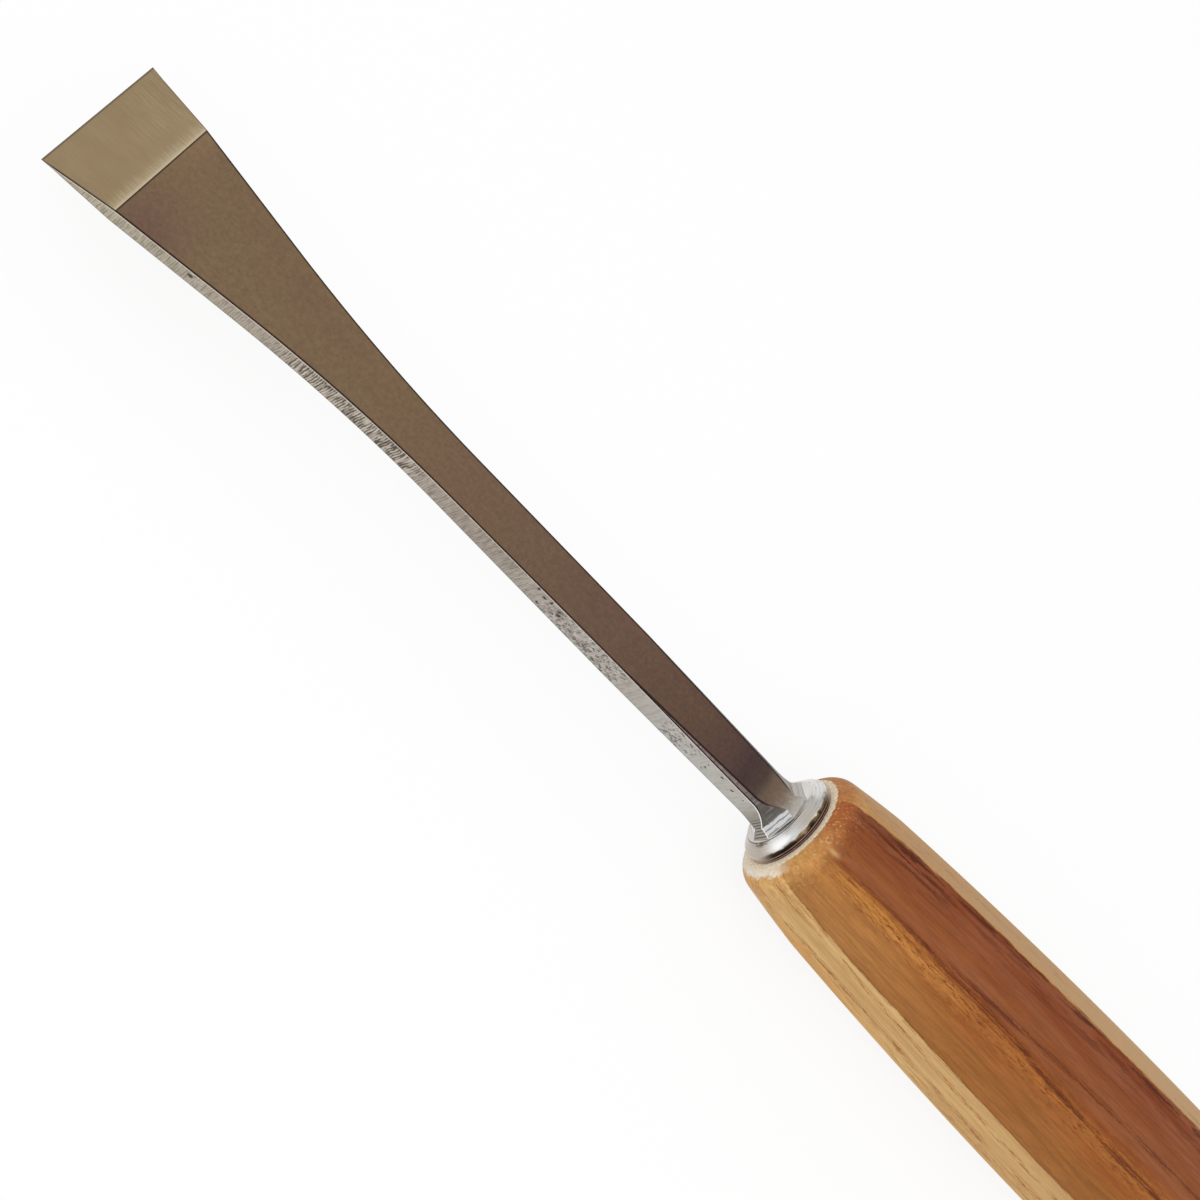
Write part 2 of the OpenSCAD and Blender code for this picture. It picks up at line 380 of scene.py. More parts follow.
@dataclass(frozen=True)
class HonedBevel(Finish):
    """Bevel at the edge: honed along the tool, with a paler worn band at its shoulder and a painted highlight
    along the shoulder.
    """

    name: str = "bevel_steel"
    roughness: float = 0.35
    shoulder_x: float = 117.4
    edge_x: float = 127.0
    steel: Colour = (156, 135, 105)
    cloud: Colour = (150, 129, 99)
    scratched: Colour = (180, 161, 128)
    worn: Colour = (188, 171, 141)
    bright: Colour = (214, 200, 172)
    line: Colour = (96, 86, 76)

    def paint(self, g: Graph) -> None:
        """Paints scratches, the worn band, a painted highlight at the shoulder and a line of painted shade
        round the bevel.

        Args:
            g: Nodes of the finish.
        """
        g.colour = self.steel
        g.coat(self.cloud, g.fade(g.noise((0.12, 0.2, 0.1), detail=4), 0.35, 0.65))
        scratch = g.fade(g.noise((0.16, 4.5, 0.1), detail=5, roughness=0.75), 0.3, 0.7)
        fine = g.noise((0.3, 11.0, 0.1), roughness=0.7, offset=(0.0, 5.0, 0.0))
        g.shade(scratch, 0.955, 1.045)
        g.coat(self.scratched, g.fade(fine, 0.5, 0.64), g.span(g.fade(g.y, 2.0, -8.5), 0.2, 0.7))
        feather = g.shaken(g.x, scratch, 1.5)
        g.coat(self.worn, g.fade(feather, self.shoulder_x + 1.7, self.shoulder_x + 0.05), 0.75)
        # Painted highlight: a bright line on the bevel just in front of its shoulder.
        feather = g.calc("MULTIPLY_ADD", fine, 0.4, g.x)
        g.coat(self.bright, g.fade(feather, self.shoulder_x + 0.75, self.shoulder_x + 0.15), 0.6)
        # Painted shade: a dark line along the cutting edge and round the bevel's borders.
        edge = g.fade(g.x, self.edge_x - 0.32, self.edge_x - 0.1)
        g.coat(self.line, g.most(edge, g.fade(g.rim(), 0.14, 0.04)), 0.75)
        rough = g.span(scratch, self.roughness - 0.05, self.roughness + 0.05)
        g.finish(rough, scratch, depth=0.003)


@dataclass(frozen=True)
class GroundSide(Finish):
    """Narrow side of the blade: cross-ground, with dark pits left from the forging."""

    name: str = "side_steel"
    slant: float = 0.06
    lines_per_mm: float = 2.9
    foot_line: float = 0.34
    steel: Stops = (
        (3.0, (168, 162, 152)), (5.0, (150, 144, 134)), (6.4, (170, 166, 158)), (8.0, (188, 184, 178)),
        (18.0, (186, 182, 176)), (30.0, (180, 174, 165)), (45.0, (174, 165, 156)),
        (60.0, (159, 147, 134)), (72.0, (168, 157, 143)), (92.0, (168, 158, 143)),
        (104.0, (172, 162, 146)), (118.0, (180, 171, 150)), (127.0, (174, 161, 132)),
    )
    groove: Colour = (80, 68, 58)
    ridge: Colour = (210, 201, 188)
    speck_pale: Colour = (208, 204, 198)
    speck_dark: Colour = (84, 76, 74)
    pit: Colour = (56, 50, 48)
    edge_highlight: Colour = (226, 216, 204)
    edge_highlight_white: Colour = (250, 250, 250)
    edge_shade: Colour = (124, 116, 108)
    foot_dark: Colour = (70, 68, 62)
    pits: tuple[Triple, ...] = (
        (106.3, 0.4, 0.42), (51.6, 1.6, 0.24), (49.1, 1.65, 0.3), (47.6, 0.9, 0.38), (46.5, 1.2, 0.32),
        (46.6, 0.3, 0.24), (47.6, -1.2, 0.32), (44.9, 1.0, 0.28), (44.5, 0.2, 0.34), (45.2, -0.6, 0.28),
        (15.4, 0.9, 0.24), (15.2, -0.3, 0.3), (15.3, -1.0, 0.22), (12.9, 1.0, 0.32), (10.4, 0.4, 0.28),
        (8.2, 0.7, 0.26),
    )

    def paint(self, g: Graph) -> None:
        """Paints grinding lines, specks, pits, a painted highlight along the upper edge, painted shade along
        the lower edge, and the turned foot.

        Args:
            g: Nodes of the finish.
        """
        g.colour = g.ramp(g.x, self.steel)
        lines = self.grinding(g)
        worn = g.stretch(g.x, 68.5, 74.0, 87.0, 95.0)
        where = g.calc("ADD", worn, g.span(g.fade(g.x, 20.0, 46.0), 0.14, 0.36))
        where = g.times(where, g.span(g.noise((0.16, 0.1, 0.4), detail=2), 0.5, 1.4))
        g.coat(self.groove, g.calc("MINIMUM", g.times(g.fade(lines, 0.48, 0.62), where, 1.1), 0.92))
        g.coat(self.ridge, g.calc("MINIMUM", g.times(g.fade(lines, 0.48, 0.34), where, 0.7), 0.7))
        speck = g.noise((1.7, 0.2, 1.8), detail=5, roughness=0.7, offset=(0.0, 3.0, 1.0))
        dense = g.stretch(g.x, 31.0, 33.5, 43.0, 49.0)
        loose = g.stretch(g.x, 16.5, 19.0, 23.0, 25.0)
        field = g.most(dense, g.times(loose, 0.9), 0.06)
        g.coat(self.speck_pale, g.fade(speck, 0.49, 0.36), field, 0.7)
        g.coat(self.speck_dark, g.fade(speck, 0.53, 0.59), field, 0.85)
        pits = self.pitting(g)
        g.coat(self.pit, pits, 0.95)
        # Painted highlight along the upper edge, white near the bolster, and painted shade along the lower
        # edge.
        rim, upper = g.rim(), g.fade(g.z, -0.1, 0.1)
        pale = g.times(g.fade(rim, 0.28, 0.08), upper)
        g.coat(self.edge_highlight, pale, 0.7)
        g.coat(self.edge_highlight_white, pale, g.fade(g.x, 9.5, 6.5))
        g.coat(self.edge_shade, g.fade(rim, 0.25, 0.08), g.rest(upper), 0.5)
        turned = g.fade(g.wave(g.x, self.foot_line), 0.0, 0.8)
        g.coat(self.foot_dark, g.fade(g.x, 5.2, 4.5), turned, g.fade(rim, 0.1, 0.3), 0.85)
        relief = g.calc("SUBTRACT", lines, g.times(pits, 0.8))
        g.finish(g.span(lines, 0.34, 0.5), relief, depth=0.01)

    def grinding(self, g: Graph) -> Socket:
        """Lines that the wheel left across the side.

        Args:
            g: Nodes of the finish.

        Returns:
            The lines, from 0 to 1.
        """
        wander = g.noise((0.3, 0.3, 0.5), detail=2, offset=(7.0, 0.0, 2.0))
        skewed = g.calc("MULTIPLY_ADD", wander, 0.5, g.calc("MULTIPLY_ADD", g.z, self.slant, g.x))
        cross = g.vector(skewed, g.y, g.z)
        uneven = g.noise((self.lines_per_mm, 0.2, 0.45), detail=4, roughness=0.65, vector=cross)
        return g.calc("MULTIPLY_ADD", g.wave(skewed, 1 / self.lines_per_mm), 0.07, uneven)

    def pitting(self, g: Graph) -> Value:
        """Pits: single ones on the near side, and a few scattered on the other.

        Args:
            g: Nodes of the finish.

        Returns:
            The pits, 1 at their middles.
        """
        ragged = g.noise((2.2, 0.2, 1.3), detail=4, roughness=0.65, offset=(2.0, 0.0, 6.0))
        flat = g.vector(g.x, 0.0, g.z)
        deep: Value = 0.0
        for x, z, reach in self.pits:
            away = g.node("VectorMath", flat, (x, 0.0, z), operation="DISTANCE").outputs["Value"]
            deep = g.most(deep, g.fade(g.shaken(away, ragged, 1.5), reach, 0.5 * reach))
        near = g.fade(g.y, 0.0, 1.0)
        cloud = g.noise((0.75, 0.2, 1.0), detail=2, roughness=0.5, offset=(1.3, 0.0, 4.2))
        other = g.times(g.fade(cloud, 0.66, 0.72), g.fade(g.x, 60.0, 44.0), g.rest(near))
        return g.most(g.times(deep, near), other)


@dataclass(frozen=True)
class GroundCorner(Finish):
    """Ground-off corner of the shank: a matte strip between two dark lines of painted shade, and on the far
    side a strip painted dark as shade, paler near the bolster as a painted reflection.
    """

    name: str = "corner_steel"
    run_out_x: float = 37.75
    steel: Stops = (
        (3.75, (112, 110, 104)), (5.5, (98, 94, 90)), (7.5, (118, 110, 108)), (10.0, (136, 119, 117)),
        (24.0, (138, 121, 118)), (37.75, (120, 104, 98)),
    )
    mark_dark: Colour = (92, 78, 76)
    mark_pale: Colour = (168, 152, 148)
    far_pale: Colour = (150, 140, 130)
    line: Colour = (34, 26, 26)
    run_out: Colour = (56, 44, 38)

    def paint(self, g: Graph) -> None:
        """Paints the strip with its cross marks, and the painted shade: dark lines at its borders, and the
        far strip dark, paler near the bolster.

        Args:
            g: Nodes of the finish.
        """
        g.colour = g.ramp(g.x, self.steel)
        marks = g.noise((2.2, 0.4, 0.4), offset=(0.0, 2.0, 0.0))
        g.coat(self.mark_dark, g.fade(marks, 0.5, 0.64), 0.6)
        g.coat(self.mark_pale, g.fade(marks, 0.48, 0.34), 0.4)
        brush = g.noise((0.4, 3.5, 3.5), detail=4, roughness=0.7, offset=(0.0, 0.0, 7.0))
        g.shade(g.fade(brush, 0.3, 0.7), 0.9, 1.1)
        # Painted shade: dark lines along both borders of the strip, beyond the foot.
        line = g.times(g.fade(g.rim(), 0.26, 0.13), g.fade(g.x, 4.6, 7.0))
        # The far strip by its side of the tool: a painted paler reflection near the bolster, painted shade
        # beyond.
        hidden = g.fade(g.y, 0.5, -0.5)
        g.coat(self.far_pale, hidden, g.fade(g.x, 9.0, 6.5))
        far = g.times(hidden, g.fade(g.x, 7.0, 10.0), 0.8)
        g.coat(self.line, g.most(line, far), 0.95)
        g.coat(self.run_out, g.fade(g.x, self.run_out_x - 6.0, self.run_out_x - 2.0), 0.95)
        g.finish(g.span(marks, 0.36, 0.5), marks, depth=0.008)


@dataclass(frozen=True)
class PolishedBolster(Finish):
    """Turned bolster: polished, with fine turning rings; painted reflections and a painted highlight vary it
    round the axis, painted shade draws a line at the step, and the rim is painted with dark and brown
    reflections.
    """

    name: str = "bolster_steel"
    roughness: float = 0.18
    step_x: float = 2.6
    foot_line: float = 0.52
    ring_dark: Colour = (204, 200, 195)
    ring_pale: Colour = (226, 224, 221)
    streaked: Colour = (160, 153, 146)
    warm: Colour = (216, 203, 186)
    dim_reflection: Colour = (178, 165, 153)
    foot_white: Colour = (250, 250, 250)
    foot_grey: Colour = (168, 166, 166)
    foot_far: Colour = (160, 152, 144)
    step_dark: Colour = (84, 74, 70)
    line: Colour = (54, 48, 46)
    # Painted reflections across the rim's height, with painted shadow at its foot.
    rim_reflection: Stops = (
        (0.00, (30, 20, 18)), (0.14, (52, 34, 30)), (0.24, (188, 156, 148)), (0.34, (60, 40, 38)),
        (0.48, (40, 26, 24)), (0.58, (168, 140, 130)), (0.68, (44, 30, 26)), (0.86, (36, 26, 20)),
        (1.10, (60, 46, 34)), (1.40, (98, 80, 56)),
    )
    # Painted reflection in golden brown and a pale painted highlight at the rim's upper edge.
    golden: Colour = (120, 98, 66)
    cream_highlight: Colour = (226, 214, 186)
    seam_shadow: Colour = (34, 24, 20)

    def paint(self, g: Graph) -> None:
        """Paints cone and foot with painted reflections and a painted highlight, then the rim, the line of
        painted shade at the step, and a darker patch below the step.

        Args:
            g: Nodes of the finish.
        """
        angle = g.angle()
        round_it = g.vector(g.x, angle)
        rings = g.noise((7.0, 0.0024, 0.0), roughness=0.7, vector=round_it)
        streak = g.noise((2.4, 0.06, 0.0), detail=4, roughness=0.6, vector=round_it)
        g.colour = self.ring_dark
        g.coat(self.ring_pale, g.fade(rings, 0.35, 0.65))
        g.coat(self.streaked, g.fade(streak, 0.54, 0.66), 0.5)
        g.coat(self.warm, g.hill(angle, 12.0, 30.0), g.fade(g.x, 2.7, 2.4), 0.6)
        # Painted highlight: a white band round part of the cone.
        lit = g.stretch(angle, 16.0, 40.0, 60.0, 80.0)
        g.coat(WHITE, lit, g.hill(g.x, 1.7, 0.85), g.fade(streak, 0.2, 0.4))
        # Painted dimmer reflection on the cone towards +Y.
        g.coat(self.dim_reflection, g.fade(angle, 66.0, 90.0), g.fade(g.x, 2.7, 2.5), 0.85)
        lines = g.wave(g.calc("MULTIPLY_ADD", streak, 0.5, g.x), self.foot_line)
        foot = g.mix(g.fade(lines, -0.1, -0.9), self.foot_white, self.foot_grey)
        # Painted dimmer reflection on the foot towards -Y.
        foot = g.mix(g.times(g.fade(angle, 0.0, -10.0), 0.85), foot, self.foot_far)
        g.coat(foot, g.fade(g.x, self.step_x + 0.02, self.step_x + 0.2))
        self.paint_rim(g, angle, streak)
        # Darker streaks on the cone just below the step, towards +Y.
        ledge = g.stretch(g.x, 2.0, 2.3, 2.5, 2.58)
        g.coat(self.step_dark, g.hill(angle, 88.0, 26.0), ledge, g.fade(streak, 0.46, 0.56), 0.8)
        # Painted shade: a dark line along the top of the cone under the step, fading out towards -Y.
        g.coat(self.line, g.hill(g.x, self.step_x - 0.09, 0.09), g.fade(angle, -8.0, 16.0), 0.9)
        rough = g.span(rings, self.roughness - 0.04, self.roughness + 0.08)
        g.finish(rough, rings, depth=0.004, strength=1.0)

    def paint_rim(self, g: Graph, angle: Value, streak: Socket) -> None:
        """Paints the rim with painted reflections: dark, with two pale lines and golden brown at its uneven
        upper edge, pale painted highlights there, and painted shadow where it meets the handle.

        Args:
            g: Nodes of the finish.
            angle: Angle round the bolster, in degrees.
            streak: Streaks round the bolster.
        """
        round_it = g.vector(g.x, angle)
        waves = g.noise((0.9, 0.07, 0.0), detail=2, roughness=0.5, offset=(3.0, 1.4, 0.0), vector=round_it)
        jags = g.noise((0.6, 0.126, 0.0), roughness=0.6, offset=(1.0, 6.0, 0.0), vector=round_it)
        upper = g.times(g.fade(g.x, 0.74, 0.92), g.fade(angle, 46.0, 24.0))
        # Painted reflections on the rim: dark bands for dark surroundings, two pale pinkish lines for the
        # wood.
        rim_reflection = g.ramp(g.x, self.rim_reflection)
        # Painted golden-brown reflection and pale painted highlights at the rim's upper edge.
        rim_reflection = g.mix(g.times(upper, g.fade(waves, 0.36, 0.48), 0.8), rim_reflection, self.golden)
        rim_reflection = g.mix(g.times(upper, g.fade(waves, 0.56, 0.64), 0.8), rim_reflection, self.cream_highlight)
        height = g.x
        for noise, reach in ((waves, 0.5), (streak, 0.3), (jags, 0.3)):
            height = g.shaken(height, noise, reach)
        g.coat(rim_reflection, g.fade(height, 1.42, 1.16), g.stretch(angle, -46.0, -16.0, 72.0, 100.0))
        # Painted shadow where the bolster meets the handle.
        g.coat(self.seam_shadow, g.fade(g.x, 0.14, 0.05), 0.85)


@dataclass(frozen=True)
class PlainSteel(Finish):
    """Steel with nothing but its grain: the tang as it came from the hammer, or drawn tube."""

    grain: Triple
    detail: float
    weight: float
    blend: Limits
    colours: Pair
    rough: Limits
    depth: float

    def paint(self, g: Graph) -> None:
        """Paints the grain.

        Args:
            g: Nodes of the finish.
        """
        grain = g.noise(self.grain, self.detail, self.weight)
        g.colour = g.mix(g.fade(grain, *self.blend), *self.colours)
        g.finish(g.span(grain, *self.rough), grain, self.depth, strength=1.0)


FORGED_TANG = PlainSteel(
    name="tang_steel",
    grain=(0.5, 0.8, 0.8),
    detail=6,
    weight=0.65,
    blend=(0.38, 0.62),
    colours=((64, 58, 56), (104, 98, 94)),
    rough=(0.45, 0.7),
    depth=0.06,
)
DRAWN_TUBE = PlainSteel(
    name="ring_steel",
    grain=(0.05, 6.0, 6.0),
    detail=4,
    weight=0.7,
    blend=(0.35, 0.65),
    colours=((164, 166, 170), (186, 188, 192)),
    rough=(0.25, 0.42),
    depth=0.01,
)


@dataclass(frozen=True)
class OiledWood(Finish):
    """Handle wood: red-brown heartwood in two neighbouring facets, the upper one darker and redder partly by
    painted facet shading, pale sapwood round it, straight grain.
    """

    name: str = "handle_wood"
    roughness: float = 0.5
    gloss: float = 0.15
    heart_middle: float = 23.0
    heart_half: float = 44.5
    streak_turn: float = 2.0
    streak_end: float = 62.0
    heart: Stops = (
        (-46.0, (121, 57, 23)), (-38.0, (126, 61, 26)), (-30.0, (131, 67, 31)), (-20.0, (136, 73, 34)),
        (-6.0, (142, 80, 37)), (1.0, (138, 74, 30)), (5.0, (160, 98, 42)), (10.0, (170, 111, 51)),
        (22.0, (174, 118, 60)), (34.0, (170, 117, 61)), (46.0, (162, 111, 60)),
    )
    heart_back: Pair = ((146, 81, 30), (150, 94, 42))
    dusty: Pair = ((150, 92, 60), (162, 106, 58))
    sparkle: Pair = ((198, 130, 64), (176, 104, 48))
    gold: Colour = (206, 142, 66)
    gold_dark: Colour = (112, 52, 16)
    sparkle_dark: Colour = (116, 50, 18)
    streak_soft: Colour = (118, 56, 20)
    streak_thin: Colour = (88, 36, 12)
    dash: Colour = (68, 24, 8)
    corner: Colour = (106, 58, 24)
    sap: Pair = ((190, 148, 92), (210, 172, 112))
    sap_far: Colour = (182, 136, 80)
    sap_back: Colour = (190, 148, 90)
    sap_warm: Colour = (200, 146, 82)
    row: Colour = (176, 122, 60)
    pore: Colour = (146, 82, 32)
    amber: Pair = ((178, 101, 50), (208, 156, 92))
    torn: Colour = (226, 182, 120)
    raw: Pair = ((222, 204, 176), (240, 231, 214))
    ring: Pair = ((226, 206, 176), (246, 232, 208))
    end: Pair = ((150, 96, 56), (184, 132, 80))
    end_dot: Colour = (104, 62, 36)

    def paint(self, g: Graph) -> None:
        """Paints heartwood and sapwood side by side, then the turned front and the butt.

        Args:
            g: Nodes of the finish.
        """
        behind, angle = g.calc("MULTIPLY", g.x, -1.0), g.angle()
        turn = g.calc("WRAP", g.calc("SUBTRACT", angle, self.heart_middle), 90.0, -90.0)
        fine = g.noise((0.2, 2.4, 2.4), detail=5, roughness=0.74, offset=(4.0, 0.0, 0.0))
        fine = g.fade(fine, 0.28, 0.72)
        edge = g.calc("ADD", g.calc("ABSOLUTE", turn), g.span(fine, -1.0, 1.0))
        outside = g.fade(edge, self.heart_half - 0.4, self.heart_half + 0.5)
        heart = self.paint_heart(g, turn, behind)
        g.colour = g.mix(outside, heart, self.paint_sap(g, angle, behind))
        g.shade(fine, 0.91, 1.09)
        corner = g.calc("ABSOLUTE", g.calc("SUBTRACT", edge, self.heart_half))
        g.coat(self.corner, g.fade(corner, 1.1, 0.2), 0.5)
        torn = self.paint_front(g, angle, behind)
        self.paint_butt(g, behind)
        rough = g.span(fine, self.roughness - 0.06, self.roughness + 0.06)
        rough = g.calc("ADD", rough, g.times(torn, 0.25))
        relief = g.calc("ADD", g.times(fine, 0.5), g.times(torn, 0.7))
        g.join(self.gloss, g.shader.inputs["Specular IOR Level"])
        g.finish(rough, relief, depth=0.05, strength=0.55, metal=False)

    def paint_heart(self, g: Graph, turn: Socket, behind: Socket) -> Paint:
        """Paints heartwood, darker and redder on the upper facet partly as painted facet shading, with dark
        lines near its middle ridge and golden lines beside them.

        Args:
            g: Nodes of the finish.
            turn: Angle from the middle of the heartwood, in degrees.
            behind: Distance behind the handle's front.

        Returns:
            The colour.
        """
        grain = g.noise((0.03, 1.0, 1.0), detail=6, roughness=0.62)
        # The ramp makes the upper facet darker and redder than the next one towards +Y: partly the wood's
        # colour, partly painted facet shading.
        g.colour = g.ramp(g.shaken(turn, grain, 12.0), self.heart)
        back = g.mix(g.fade(turn, 14.0, 36.0), *self.heart_back)
        g.coat(back, g.fade(behind, 8.0, 40.0), g.fade(turn, 1.0, 7.0), 0.9)
        g.shade(g.fade(grain, 0.3, 0.7), 0.92, 1.08)
        flat = g.vector(behind, turn)
        mottle = g.noise((0.05, 0.11, 0.0), offset=(9.0, 2.0, 0.0), vector=flat)
        g.coat(g.mix(g.fade(turn, -2.0, 6.0), *self.dusty), g.fade(mottle, 0.42, 0.62), 0.4)
        shake = g.noise((0.9, 0.5, 0.0), detail=4, roughness=0.72, vector=flat)
        turn = g.shaken(turn, shake, 3.4)
        flat = g.vector(behind, turn)
        thin = g.hill(g.noise((0.06, 0.5, 0.0), detail=5, vector=flat), 0.5, 0.1)
        gold = g.noise((0.07, 0.55, 0.0), detail=5, offset=(7.0, 3.0, 0.0), vector=flat)
        strip = g.times(g.hill(turn, 9.0, 8.5), g.fade(behind, 3.0, 12.0))
        strip = g.times(strip, g.span(g.fade(behind, 16.0, 40.0), 1.0, 0.4))
        g.coat(self.gold, strip, g.hill(gold, 0.5, 0.09), 0.75)
        g.coat(self.gold_dark, strip, g.fade(gold, 0.55, 0.62), 0.85)
        spark = g.noise((0.5, 0.72, 0.0), roughness=0.6, offset=(5.0, 2.0, 0.0), vector=flat)
        band = g.times(g.hill(turn, 10.0, 13.0), g.fade(behind, 1.5, 7.0))
        pale = g.mix(g.fade(behind, 18.0, 40.0), *self.sparkle)
        g.coat(pale, band, g.fade(spark, 0.53, 0.62), 0.7)
        g.coat(self.sparkle_dark, band, g.fade(spark, 0.46, 0.37), 0.75)
        first = self.streak(g, turn, behind, -11.0, 10.0, 3.8)
        first = g.times(first, g.span(g.fade(behind, 4.0, 22.0), 0.4, 1.0))
        second = g.times(self.streak(g, turn, behind, 5.5, 30.0, 3.6), g.fade(behind, 10.0, 26.0))
        dark = g.most(first, second)
        g.coat(self.streak_soft, dark, 0.3)
        g.coat(self.streak_thin, g.most(dark, 0.14), thin, 0.9)
        dash = g.noise((0.13, 0.42, 0.0), detail=5, roughness=0.6, offset=(1.0, 7.0, 0.0), vector=flat)
        left = g.times(g.fade(turn, -24.0, -36.0), g.span(g.hill(behind, 13.0, 12.0), 0.45, 1.0))
        border = g.span(g.hill(turn, -42.5, 3.4), 0.16, 1.0)
        g.coat(self.dash, g.fade(dash, 0.47, 0.56), g.most(left, border), 0.85)
        return g.colour

    def streak(
        self, g: Graph, turn: Socket, behind: Socket, drift: float, start: float, reach: float
    ) -> Socket:
        """A line of dark grain, reach wide to each side, that drifts off the middle ridge behind start."""
        path = g.calc("MULTIPLY_ADD", g.fade(behind, start, self.streak_end), -drift, turn)
        return g.hill(path, self.streak_turn, reach)

    def paint_sap(self, g: Graph, angle: Value, behind: Socket) -> Paint:
        """Paints sapwood, with its short brown pores in rows.

        Args:
            g: Nodes of the finish.
            angle: Angle round the handle, in degrees.
            behind: Distance behind the handle's front.

        Returns:
            The colour.
        """
        grain = g.noise((0.025, 0.9, 0.9), detail=6, roughness=0.62, offset=(0.0, 4.0, 0.0))
        g.colour = g.mix(g.fade(grain, 0.34, 0.66), *self.sap)
        g.coat(self.sap_far, g.fade(angle, 20.0, -20.0), 0.9)
        g.coat(self.sap_back, g.fade(behind, 30.0, 70.0), 0.5)
        g.coat(self.sap_warm, g.hill(angle, 108.0, 12.0), g.fade(behind, 36.0, 18.0), 0.6)
        shake = g.noise((0.8, 0.4, 0.0), detail=4, roughness=0.72, vector=g.vector(behind, angle))
        angle = g.shaken(angle, shake, 4.0)
        flat = g.vector(behind, angle)
        first = g.calc("MULTIPLY_ADD", g.fade(behind, 15.0, 55.0), -6.0, angle)
        rows = g.most(g.hill(first, 76.0, 4.6), g.hill(angle, 98.5, 5.6))
        broken = g.noise((0.11, 0.12, 0.0), detail=2, offset=(2.0, 5.0, 0.0), vector=flat)
        rows = g.times(rows, g.fade(broken, 0.36, 0.5))
        g.coat(self.row, rows, 0.3)
        other = g.noise((0.01, 0.32, 0.32), detail=1, offset=(0.0, 2.6, 1.0))
        other = g.times(g.fade(other, 0.5, 0.62), g.rest(g.hill(angle, 90.0, 30.0)), 0.8)
        pores = g.noise((0.26, 0.75, 0.0), roughness=0.6, offset=(3.0, 1.0, 0.0), vector=flat)
        g.coat(self.pore, g.fade(pores, 0.51, 0.57), g.most(rows, other, 0.1), 0.95)
        return g.colour

    def paint_front(self, g: Graph, angle: Value, behind: Socket) -> Value:
        """Paints the front end, which was turned across the grain: blotches, torn fibres and a pale ring.

        Args:
            g: Nodes of the finish.
            angle: Angle round the handle, in degrees.
            behind: Distance behind the handle's front.

        Returns:
            How torn the surface is.
        """
        flecks = g.noise((1.3, 2.1, 2.1), detail=5, roughness=0.68, offset=(5.0, 3.0, 8.0))
        g.coat(g.mix(g.fade(angle, -12.0, 40.0), *self.amber), g.fade(behind, 3.6, 0.2), 0.65)
        smooth = g.colour
        blotch = g.noise((0.9, 1.1, 1.1), detail=5, roughness=0.7, offset=(6.0, 1.0, 2.0))
        g.shade(g.fade(blotch, 0.35, 0.65), 0.74, 1.3)
        g.colour = g.mix(g.times(g.fade(behind, 8.0, 1.5), 0.55), smooth, g.colour)
        thin = g.fade(g.noise((0.4, 0.4, 0.4), detail=2, offset=(1.0, 9.0, 2.0)), 0.42, 0.6)
        dots = g.noise((2.0, 3.0, 3.0), detail=2, roughness=0.5, offset=(2.0, 7.0, 4.0))
        torn = g.times(g.fade(dots, 0.56, 0.66), g.fade(behind, 5.0, 0.6), g.span(thin, 0.25, 1.0))
        patch = g.times(g.hill(angle, 23.5, 3.4), g.hill(behind, 2.7, 1.7), g.fade(flecks, 0.26, 0.4))
        torn = g.most(torn, patch)
        g.coat(self.torn, torn, 0.55)
        patchy = g.noise((0.6, 0.6, 0.6), roughness=0.6, offset=(4.0, 1.0, 6.0))
        uneven = g.shaken(g.shaken(behind, patchy, 1.4), flecks, 1.3)
        mottle = g.noise((1.0, 1.2, 1.2), detail=4, roughness=0.65, offset=(3.0, 2.0, 1.0))
        raw = g.mix(g.fade(mottle, 0.36, 0.6), *self.raw)
        g.coat(raw, g.fade(angle, 54.0, 78.0), g.fade(uneven, 0.95, 0.5), 0.92)
        ring = g.fade(g.shaken(behind, flecks, 0.3), 0.17, 0.1)
        g.coat(g.mix(g.fade(dots, 0.4, 0.6), *self.ring), ring, 0.92)
        return g.most(torn, g.times(ring, 0.6))

    def paint_butt(self, g: Graph, behind: Socket) -> None:
        """Paints darker end grain in layers where the surface faces the butt.

        Args:
            g: Nodes of the finish.
            behind: Distance behind the handle's front.
        """
        facing = g.node("SeparateXYZ", g.node("TexCoord").outputs["Normal"]).outputs[0]
        layers = g.noise((0.0, 1.3, 0.5), detail=4, roughness=0.6, offset=(0.0, 1.0, 3.0))
        dots = g.noise((0.3, 4.5, 4.5), offset=(0.0, 6.0, 0.0))
        end = g.mix(g.fade(layers, 0.38, 0.62), *self.end)
        end = g.mix(g.times(g.fade(dots, 0.56, 0.68), 0.6), end, self.end_dot)
        g.coat(end, g.fade(facing, -0.35, -0.8), g.fade(behind, 60.0, 90.0))


